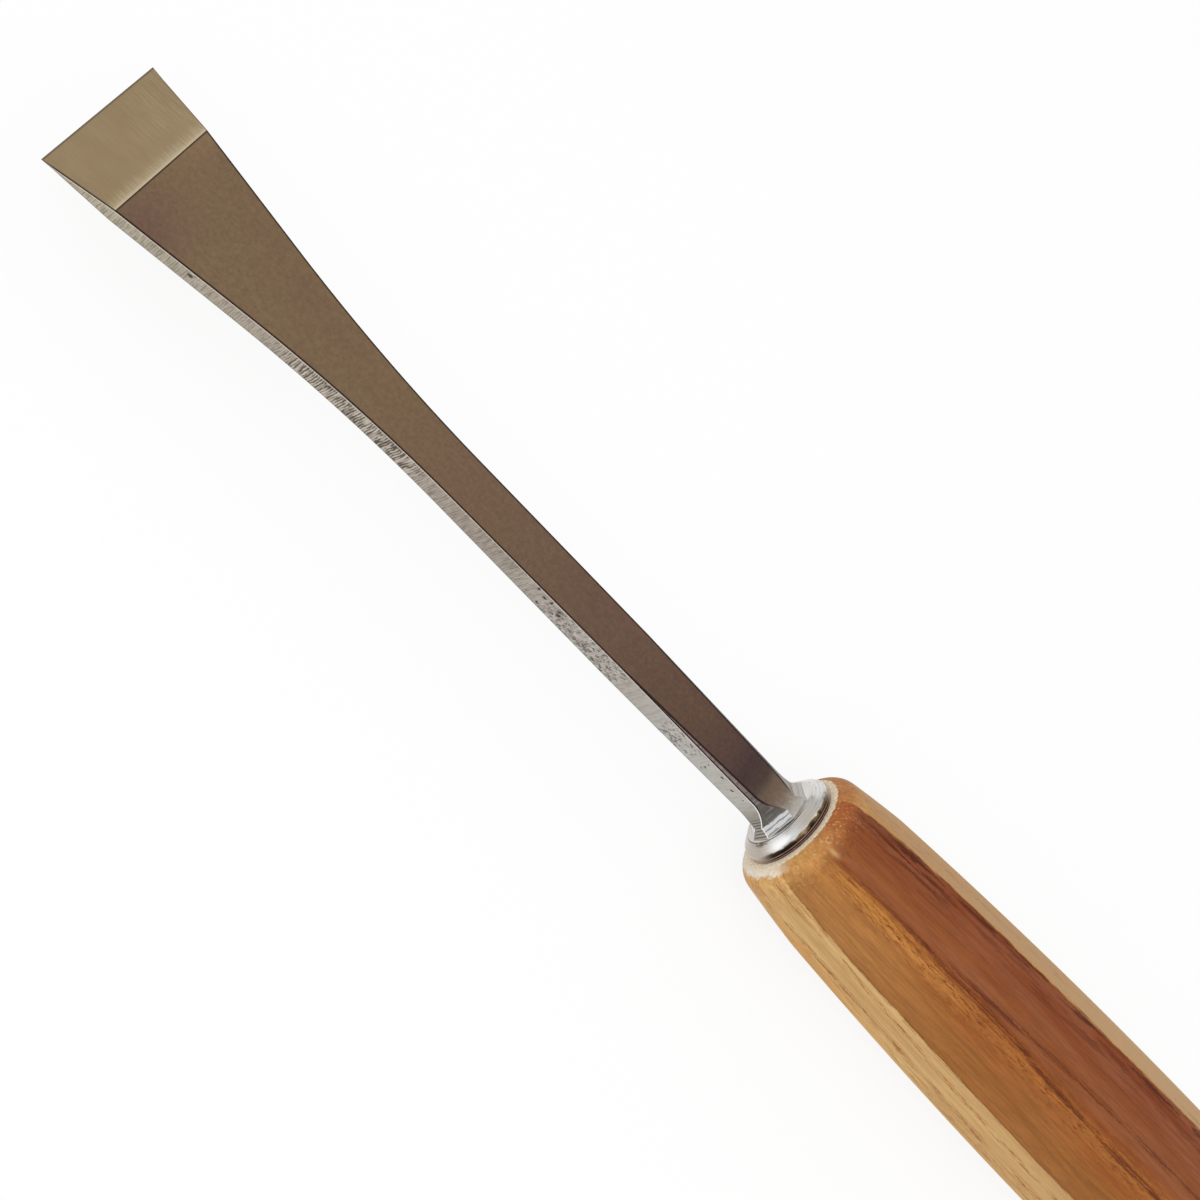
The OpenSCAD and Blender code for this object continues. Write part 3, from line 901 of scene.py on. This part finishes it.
class Shell:
    """A closed skin of rings of points, each ring joined to the one before it. Lengths are in millimetres."""

    def __init__(self) -> None:
        """Starts an empty skin."""
        self.points: list[Vector] = []
        self.rims: list[float] = []
        self.faces: list[list[int]] = []
        self.zones: list[int] = []
        self.count = 0

    def ring(self, points: list[Vector], zones: list[int], rims: list[float] | None = None) -> None:
        """Adds a ring and joins it to the last one.

        Args:
            points: Points of the ring in order round the axis.
            zones: Zone of the skin between each point and the next, back to the last ring.
            rims: Distance of each point from the border of its zone.
        """
        start = len(self.points)
        self.count = len(points)
        self.points += points
        self.rims += rims if rims is not None else [1.0] * self.count
        if start == 0:
            self.faces.append(list(range(self.count)))
            self.zones.append(zones[0])
            return
        for i in range(self.count):
            j = (i + 1) % self.count
            self.faces.append([start - self.count + i, start - self.count + j, start + j, start + i])
            self.zones.append(zones[i])

    def close(self, zone: int) -> None:
        """Closes the last ring with a flat end of a zone."""
        self.faces.append([len(self.points) - 1 - i for i in range(self.count)])
        self.zones.append(zone)

    def piece(self, name: str, finishes: list[Finish], seat: Vector, sharp: float) -> bpy.types.Object:
        """Makes the skin an object.

        Args:
            name: Name of the object.
            finishes: One finish for each zone.
            seat: Place of the tool's origin in the scene, in metres.
            sharp: Angle in degrees above which an edge is crisp.

        Returns:
            The object.
        """
        mesh = bpy.data.meshes.new(name)
        mesh.from_pydata([p * MM for p in self.points], [], self.faces)
        for finish in finishes:
            mesh.materials.append(finish.make())
        mesh.polygons.foreach_set("material_index", self.zones)
        rim = mesh.attributes.new("rim", "FLOAT", "POINT")
        rim.data.foreach_set("value", self.rims)
        work = bmesh.new()
        work.from_mesh(mesh)
        bmesh.ops.recalc_face_normals(work, faces=work.faces)
        limit = math.radians(sharp)
        for face in work.faces:
            face.smooth = True
        for edge in work.edges:
            one, other = edge.link_faces
            edge.smooth = one.material_index == other.material_index and edge.calc_face_angle(0.0) < limit
        work.to_mesh(mesh)
        work.free()
        piece = bpy.data.objects.new(name, mesh)
        bpy.context.scene.collection.objects.link(piece)
        piece.location = seat
        bpy.context.view_layer.update()
        return piece


@dataclass
class Forging:
    """Fishtail blade, shank, bolster and tang, forged as one piece of steel. Sizes are in millimetres."""

    seat: Vector
    blade_length: float = 127.0
    edge_width: float = 20.0
    bevel_length: float = 9.6
    shoulder_thickness: float = 2.6
    flare_angle: float = math.radians(8.3)
    flare_radius: float = 242.0
    shank_width: float = 7.1
    neck_width: float = 6.4
    neck_thickness: float = 5.2
    corner_grind: float = 0.8
    corner_grind_length: float = 34.0
    bolster_radius: float = 7.15
    rim_height: float = 1.3
    rim_round: float = 0.7
    rim_step: float = 0.22
    seat_edge: tuple[Point, ...] = ((0.0, 0.12), (0.05, 0.04), (0.12, 0.0), (0.3, 0.0))
    cone_height: float = 1.3
    cone_cove: float = 0.05
    cone_cuts: tuple[float, ...] = (0.25, 0.5, 0.75, 0.93)
    step_radius: float = 5.5
    step_break: float = 0.03
    foot_height: float = 1.15
    foot_across: float = 9.4
    face_rise_length: float = 4.25
    face_rise_radius: float = 7.8
    side_rise_length: float = 3.6
    side_rise_radius: float = 7.0
    tang_length: float = 68.0
    tang_width: float = 6.2
    tang_tip_width: float = 2.8
    tang_tip_break: float = 0.4
    tang_tip_length: float = 0.6
    tang_run: float = 2.0
    tang_step: float = 3.0
    edge_break: float = 0.1
    edge_land: float = 0.01
    edge_share: float = 0.45
    neck_end: float = 9.0
    shank_end: float = 42.0
    ring_steps: tuple[float, ...] = (0.12, 0.15, 0.5, 0.75, 0.6)
    face_cuts: int = 16
    corner_cuts: int = 20
    side_cuts: int = 12
    round_cuts: int = 8
    sharp: float = 32.0

    def __post_init__(self) -> None:
        """Works out the places along the axis that follow from the sizes."""
        self.step_x = self.rim_height + self.cone_height
        self.bolster_x = self.step_x + self.foot_height
        self.bevel_x = self.blade_length - self.bevel_length
        self.grind_x = self.bolster_x + self.corner_grind_length
        widening = (self.edge_width - self.shank_width) / 2
        self.flare_x = self.blade_length - widening / math.tan(self.flare_angle)
        rise = (self.shank_width - self.neck_width) / 2
        self.shank_angle = math.atan2(rise, self.flare_x - self.bolster_x)
        setback = self.flare_radius * math.tan((self.flare_angle - self.shank_angle) / 2)
        self.flare_in = self.flare_x - setback * math.cos(self.shank_angle)
        self.flare_out = self.flare_x + setback * math.cos(self.flare_angle)

    def shank_half(self, x: float) -> float:
        """Half width that the shank would have at x without its curves."""
        return along(x, self.bolster_x, self.neck_width / 2, self.flare_x, self.shank_width / 2)

    def half_width(self, x: float) -> float:
        """Half width of the blade in plan.

        Args:
            x: Distance in front of the handle.

        Returns:
            The half width.
        """
        if x >= self.flare_out:
            return self.shank_width / 2 + (x - self.flare_x) * math.tan(self.flare_angle)
        if x > self.flare_in:
            middle_x = self.flare_in - self.flare_radius * math.sin(self.shank_angle)
            middle_y = self.shank_half(self.flare_in) + self.flare_radius * math.cos(self.shank_angle)
            return middle_y - math.sqrt(self.flare_radius**2 - (x - middle_x) ** 2)
        return self.risen(x, self.shank_half(x), self.side_rise_length, self.side_rise_radius)

    def half_thickness(self, x: float) -> float:
        """Half thickness of the blade.

        Args:
            x: Distance in front of the handle.

        Returns:
            The half thickness.
        """
        if x > self.bevel_x:
            reach = along(x, self.bevel_x, self.shoulder_thickness / 2, self.blade_length, 0.0)
            return max(reach, self.edge_land)
        line = along(x, self.bolster_x, self.neck_thickness / 2, self.bevel_x, self.shoulder_thickness / 2)
        return self.risen(x, line, self.face_rise_length, self.face_rise_radius)

    def risen(self, x: float, line: float, length: float, radius: float) -> float:
        """A half size with its curved rise, of a length and a radius, into the bolster."""
        run = max(self.bolster_x + length - x, 0.0)
        return line + radius - math.sqrt(radius**2 - run**2)

    def corner_sum(self, x: float) -> float:
        """Limit of half width plus half thickness that the corners are ground to.

        Args:
            x: Distance in front of the handle.

        Returns:
            The limit.
        """
        width, thickness = self.half_width(x), self.half_thickness(x)
        whole = width + thickness - min(self.edge_break, self.edge_share * thickness)
        if x >= self.grind_x:
            return whole
        neck = (self.neck_width + self.neck_thickness) / 2 - self.corner_grind
        if x < self.bolster_x:
            return along(x, self.step_x, self.foot_across * math.sqrt(0.5), self.bolster_x, neck)
        end = self.half_width(self.grind_x) + self.half_thickness(self.grind_x)
        return min(whole, along(x, self.bolster_x, neck, self.grind_x, end))

    def section(self, x: float) -> tuple[list[Vector], list[float]]:
        """Points round the shank or the blade, from the left end of the upper face, by way of +Y.

        Args:
            x: Distance in front of the handle.

        Returns:
            The points, and the distance of each from the border of its zone.
        """
        width, thickness, limit = self.half_width(x), self.half_thickness(x), self.corner_sum(x)
        flat, wall = limit - thickness, limit - width
        half = [(-flat, thickness), (flat, thickness), (width, wall), (width, -wall)]
        corners = [Vector((x, y, z)) for y, z in half] + [Vector((x, -y, -z)) for y, z in half]
        cuts = (self.face_cuts, self.corner_cuts, self.side_cuts, self.corner_cuts) * 2
        points: list[Vector] = []
        rims: list[float] = []
        for corner, following, count in zip(corners, corners[1:] + corners[:1], cuts, strict=True):
            length = (following - corner).length
            for k in range(count):
                points.append(corner.lerp(following, k / count))
                rims.append(length * min(k, count - k) / count)
        return points, rims

    def section_zones(self, x: float) -> list[int]:
        """Zone of each stretch of the section.

        Args:
            x: Distance in front of the handle, in the middle of the stretch.

        Returns:
            The zones in the order of the section's points.
        """
        broad = Zone.BEVEL if x > self.bevel_x else Zone.FACE
        corner = Zone.CORNER if x > self.bolster_x else Zone.BOLSTER
        half = [broad] * self.face_cuts + [corner] * self.corner_cuts
        half += [Zone.SIDE] * self.side_cuts + [corner] * self.corner_cuts
        return half * 2

    def bolster_profile(self) -> list[Point]:
        """Turned outline of the bolster, from the handle's front to the step.

        Returns:
            Distances in front of the handle, each with its radius.
        """
        top = self.bolster_radius
        turn = math.atan2(top - self.step_radius, self.cone_height)
        middle = self.rim_height - self.rim_round * math.tan(turn / 2)
        points = [(x, top - below) for x, below in self.seat_edge]
        points += [(x, top) for x in steps(points[-1][0], middle, self.rim_step)[1:]]
        for i in range(self.round_cuts + 1):
            a = turn * i / self.round_cuts
            points.append((middle + self.rim_round * math.sin(a), top - self.rim_round * (1 - math.cos(a))))
        start_x, start_r = points[-1]
        for t in self.cone_cuts:
            radius = along(t, 0, start_r, 1, self.step_radius) - self.cone_cove * math.sin(math.pi * t)
            points.append((along(t, 0, start_x, 1, self.step_x), radius))
        return points + [(self.step_x, self.step_radius - self.step_break)]

    def stations(self) -> list[float]:
        """Places of the rings along the foot, the shank and the blade, from the step to the edge.

        Returns:
            The places, closer together where the form bends more.
        """
        ends = (self.step_x, self.bolster_x, self.neck_end, self.shank_end, self.bevel_x, self.blade_length)
        runs = zip(ends, ends[1:], self.ring_steps, strict=False)
        return [x for start, end, step in runs for x in steps(start, end, step)] + [self.blade_length]

    def build(self) -> bpy.types.Object:
        """Builds and dresses the forging.

        Returns:
            The object.
        """
        shell = Shell()
        angles = [math.atan2(p.y, p.z) for p in self.section(self.step_x)[0]]
        tang, bolster = [Zone.TANG] * len(angles), [Zone.BOLSTER] * len(angles)
        tip = -self.tang_length
        places = [tip, tip + self.tang_tip_length] + steps(tip + self.tang_run, 0.0, self.tang_step) + [0.0]
        for x in places:
            half = along(x, 0, self.tang_width, tip, self.tang_tip_width) / 2
            if x == tip:
                half -= self.tang_tip_break
            shell.ring([square(half, a, x) for a in angles], tang)
        for x, radius in self.bolster_profile():
            shell.ring([polar(radius, a, x) for a in angles], bolster if x > 0 else tang)
        last = 0.0
        for x in self.stations():
            points, rims = self.section(x)
            shell.ring(points, bolster if last == 0.0 else self.section_zones((x + last) / 2), rims)
            last = x
        shell.close(Zone.BEVEL)
        finishes = [BrownedFace(), HonedBevel(), GroundSide(), GroundCorner(), PolishedBolster(), FORGED_TANG]
        piece = shell.piece("forging", finishes, self.seat, self.sharp)
        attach(piece, "root")
        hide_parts("blade")
        return piece


@dataclass
class Handle:
    """Eight-sided handle with bowed facets and turned ends, bored for the tang. Sizes are in millimetres."""

    seat: Vector
    length: float = 130.0
    across_flats: float = 26.6
    belly_position: float = 90.0
    facet_radius: float = 1190.0
    bow_radius: float = 106.4
    shoulder_length: float = 12.0
    shoulder_angle: float = math.radians(9.0)
    shoulder_reach: float = 17.0
    front_round: float = 2.8
    butt_length: float = 9.0
    butt_angle: float = math.radians(12.0)
    butt_reach: float = 15.0
    butt_round: float = 4.0
    dome_radius: float = 32.0
    dome_start: float = 0.03
    corner_round: float = 0.45
    facet_blend: float = 0.12
    groove_outer: float = 6.5
    groove_inner: float = 5.6
    groove_depth: float = 14.05
    socket_half: float = 3.15
    socket_tip_half: float = 1.4
    socket_depth: float = 70.0
    flat_cuts: int = 16
    corner_cuts: int = 5
    dome_cuts: int = 13
    butt_cuts: int = 12
    front_cuts: int = 9
    butt_step: float = 0.4
    facet_step: float = 1.5
    shoulder_step: float = 0.3
    socket_step: float = 5.0
    sharp: float = 40.0

    def __post_init__(self) -> None:
        """Works out the turned ends that follow from the sizes."""
        factor = 1 / math.cos(math.pi / 8)
        front = self.apothem(self.shoulder_length) * factor
        cone = front - (self.shoulder_length - self.front_round) * math.tan(self.shoulder_angle)
        self.front_round_r = cone - self.front_round / math.cos(self.shoulder_angle)
        butt = self.apothem(self.length - self.butt_length) * factor
        lean = self.butt_angle
        slide = butt - self.butt_length * math.tan(lean) - self.butt_round / math.cos(lean)
        less = self.dome_radius - self.butt_round
        offset = slide * math.cos(lean) + self.dome_radius * math.sin(lean)
        foot = self.dome_radius * math.cos(lean) - slide * math.sin(lean)
        run = foot - math.sqrt(less**2 - offset**2)
        self.butt_centre = (slide + run * math.sin(lean), run * math.cos(lean))
        self.dome_turn = math.atan2(self.butt_centre[0], self.dome_radius - self.butt_centre[1])

    def apothem(self, behind: float) -> float:
        """Distance of the facets from the axis, at a distance behind the handle's front."""
        run = (behind - self.belly_position) / math.sqrt(self.facet_radius / self.bow_radius)
        return self.across_flats / 2 - self.bow_radius + math.sqrt(self.bow_radius**2 - run**2)

    def octagon(self, apothem: float) -> list[Point]:
        """Radius and angle of each point of a section with softened corners.

        Args:
            apothem: Distance of the facets from the axis.

        Returns:
            Radius and angle of each point, in order round the axis.
        """
        eighth = math.pi / 4
        flat = (apothem - self.corner_round) * math.tan(eighth / 2)
        corner = (apothem - self.corner_round) / math.cos(eighth / 2)
        places: list[Point] = []
        for side in range(8):
            turn = side * eighth
            for k in range(self.flat_cuts):
                across = flat * (2 * k / self.flat_cuts - 1)
                places.append((math.hypot(apothem, across), turn + math.atan2(across, apothem)))
            for k in range(self.corner_cuts):
                lean = eighth * (k / self.corner_cuts - 0.5)
                out = corner + self.corner_round * math.cos(lean)
                over = self.corner_round * math.sin(lean)
                places.append((math.hypot(out, over), turn + eighth / 2 + math.atan2(over, out)))
        return places

    def envelope(self) -> list[Point]:
        """Turned limit of the handle, from the butt to the front.

        Returns:
            Distances behind the front, each with the limit of the radius.
        """
        points: list[Point] = []
        for i in range(self.dome_cuts + 1):
            a = self.dome_turn * along(i, 0, self.dome_start, self.dome_cuts, 1)
            depth = self.dome_radius * (1 - math.cos(a))
            points.append((self.length - depth, self.dome_radius * math.sin(a)))
        centre_r, centre_depth = self.butt_centre
        for i in range(1, self.butt_cuts + 1):
            a = along(i, 0, self.dome_turn, self.butt_cuts, math.pi / 2 - self.butt_angle)
            depth = centre_depth - self.butt_round * math.cos(a)
            points.append((self.length - depth, centre_r + self.butt_round * math.sin(a)))
        start, radius = points[-1]
        end = self.length - self.butt_reach
        for behind in steps(start, end, self.butt_step)[1:]:
            points.append((behind, radius + (start - behind) * math.tan(self.butt_angle)))
        points += [(behind, math.inf) for behind in steps(end, self.shoulder_reach, self.facet_step)]
        tangent_r = self.front_round_r + self.front_round * math.cos(self.shoulder_angle)
        tangent = self.front_round * (1 - math.sin(self.shoulder_angle))
        for behind in steps(self.shoulder_reach, tangent, self.shoulder_step):
            points.append((behind, tangent_r + (behind - tangent) * math.tan(self.shoulder_angle)))
        for i in range(self.front_cuts + 1):
            a = along(i, 0, math.pi / 2 - self.shoulder_angle, self.front_cuts, 0)
            radius = self.front_round_r + self.front_round * math.sin(a)
            points.append((self.front_round * (1 - math.cos(a)), radius))
        return points

    def outline(self, behind: float, limit: float) -> list[Vector]:
        """Points of the octagon within the turned limit, with a soft passage from one to the other.

        Args:
            behind: Distance behind the handle's front.
            limit: Limit of the radius.

        Returns:
            The points in order round the axis.
        """
        points = []
        for radius, angle in self.octagon(self.apothem(behind)):
            gap = max(0.0, self.facet_blend - abs(radius - limit)) / self.facet_blend
            points.append(polar(min(radius, limit) - gap * gap * self.facet_blend / 4, angle, -behind))
        return points

    def mouth(self) -> list[Point]:
        """Front face and the groove for the ring, from the rim inwards.

        Returns:
            Distances behind the front, each with its radius.
        """
        depths = (0.0, self.groove_depth / 2, self.groove_depth)
        face = [(0.0, (self.front_round_r + self.groove_outer) / 2)]
        down = [(depth, self.groove_outer) for depth in depths]
        return face + down + [(depth, self.groove_inner) for depth in reversed(depths)]

    def build(self) -> bpy.types.Object:
        """Builds and dresses the handle.

        Returns:
            The object.
        """
        shell = Shell()
        around = [angle for _, angle in self.octagon(self.across_flats / 2)]
        zones = [0] * len(around)
        for behind, limit in self.envelope():
            shell.ring(self.outline(behind, limit), zones)
        for behind, radius in self.mouth():
            shell.ring([polar(radius, angle, -behind) for angle in around], zones)
        for behind in steps(0.0, self.socket_depth, self.socket_step) + [self.socket_depth]:
            half = along(behind, 0, self.socket_half, self.socket_depth, self.socket_tip_half)
            shell.ring([square(half, angle, -behind) for angle in around], zones)
        shell.close(0)
        piece = shell.piece("handle_body", [OiledWood()], self.seat, self.sharp)
        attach(piece, "root")
        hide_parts("handle")
        return piece


@dataclass
class InnerFerrule:
    """Steel ring inside the front end of the handle, kept as the frame draws it."""

    node: str = "inner_ferrule"

    def dress(self) -> bpy.types.Object:
        """Gives the ring its finish.

        Returns:
            The object.
        """
        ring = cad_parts[self.node]
        ring.data.materials.clear()
        ring.data.materials.append(DRAWN_TUBE.make())
        return ring


@dataclass
class Studio:
    """Pale floor, soft sky and one large lamp. Sizes are in metres."""

    floor_half: float = 4.0
    floor_colour: Colour = (244, 244, 244)
    floor_roughness: float = 0.9
    floor_glow: float = 0.88
    sky_low: float = 0.55
    sky_high: float = 0.95
    sky_high_at: float = 0.75
    lamp_place: Triple = (0.10, 0.42, 0.62)
    lamp_aim: Triple = (0.02, 0.0, 0.01)
    lamp_size: float = 0.5
    lamp_watts: float = 1.5

    def build(self) -> None:
        """Builds the floor, the sky and the lamp."""
        self.floor()
        self.sky()
        self.lamp()

    def floor(self) -> None:
        """Lays a white floor that still takes the object's shadow."""
        half = self.floor_half
        mesh = bpy.data.meshes.new("floor")
        corners = [(-half, -half, 0), (half, -half, 0), (half, half, 0), (-half, half, 0)]
        mesh.from_pydata(corners, [], [[0, 1, 2, 3]])
        paper = bpy.data.materials.new("floor_paper")
        g = Graph(paper)
        g.colour = self.floor_colour
        g.finish(self.floor_roughness, metal=False)
        path = g.node("LightPath")
        rays = ("Is Camera Ray", "Is Glossy Ray", "Is Transmission Ray")
        seen = g.times(g.most(*(path.outputs[ray] for ray in rays)), self.floor_glow)
        glow = g.node("Emission", WHITE, 1.0)
        blend = g.node("MixShader", seen, g.shader.outputs[0], glow.outputs[0])
        g.join(blend.outputs[0], g.out.inputs["Surface"])
        mesh.materials.append(paper)
        floor = bpy.data.objects.new("floor", mesh)
        bpy.context.scene.collection.objects.link(floor)

    def sky(self) -> None:
        """Lights the scene from all round, a little dimmer at the horizon, and shows white behind it."""
        world = bpy.data.worlds.new("studio")
        bpy.context.scene.world = world
        g = Graph(world)
        up = g.node("SeparateXYZ", g.node("TexCoord").outputs["Generated"]).outputs[2]
        light = g.node("MapRange", up, 0.0, self.sky_high_at, self.sky_low, self.sky_high).outputs[0]
        sides = [g.node("Background", paint).outputs[0] for paint in (light, WHITE)]
        blend = g.node("MixShader", g.node("LightPath").outputs["Is Camera Ray"], *sides)
        g.join(blend.outputs[0], g.out.inputs["Surface"])

    def lamp(self) -> None:
        """Hangs one large soft lamp above the near side."""
        data = bpy.data.lights.new("softbox", "AREA")
        data.shape = "SQUARE"
        data.size = self.lamp_size
        data.energy = self.lamp_watts
        lamp = bpy.data.objects.new("softbox", data)
        lamp.location = self.lamp_place
        look = Vector(self.lamp_aim) - Vector(self.lamp_place)
        lamp.rotation_euler = look.to_track_quat("-Z", "Y").to_euler()
        bpy.context.scene.collection.objects.link(lamp)


@dataclass
class PhotoCamera:
    """Camera at the photograph's place, turned about its line of sight. Places are in millimetres."""

    eye: Triple = (102.77468, 115.95013, 200.44776)
    sight: Triple = (-0.26157231, -0.51785115, -0.81449992)
    roll: float = math.radians(68.3477)
    lens: float = 52.388
    sensor: float = 36.0
    nearest: float = 10.0

    def build(self) -> bpy.types.Object:
        """Places the camera.

        Returns:
            The camera.
        """
        sight = Vector(self.sight).normalized()
        level = sight.cross(Vector((0, 0, 1))).normalized()
        upright = level.cross(sight)
        right = level * math.cos(self.roll) + upright * math.sin(self.roll)
        up = upright * math.cos(self.roll) - level * math.sin(self.roll)
        data = bpy.data.cameras.new("photo_camera")
        data.sensor_width = self.sensor
        data.sensor_fit = "HORIZONTAL"
        data.lens = self.lens
        data.clip_start = self.nearest * MM
        camera = bpy.data.objects.new("photo_camera", data)
        turn = Matrix((right, up, -sight)).transposed().to_4x4()
        camera.matrix_world = Matrix.Translation(Vector(self.eye) * MM) @ turn
        bpy.context.scene.collection.objects.link(camera)
        bpy.context.scene.camera = camera
        return camera


def tool_seat() -> Vector:
    """Place of the handle's front on the tool's axis, in metres, read from the ring that is flush with it."""
    low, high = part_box("inner_ferrule")
    return Vector((high[0], (low[1] + high[1]) / 2, (low[2] + high[2]) / 2))


def main() -> None:
    """Builds the tool piece by piece, then the studio and the camera."""
    logging.basicConfig(level=logging.INFO, format="%(name)s: %(message)s")
    bpy.context.scene.view_settings.view_transform = "Standard"
    seat = tool_seat()
    for piece in (Forging(seat).build(), Handle(seat).build(), InnerFerrule().dress()):
        log.info("%s: %d faces", piece.name, len(piece.data.polygons))
    Studio().build()
    PhotoCamera().build()
    log.info("floor, lamp and camera are in place")


if __name__ == "__main__":
    main()
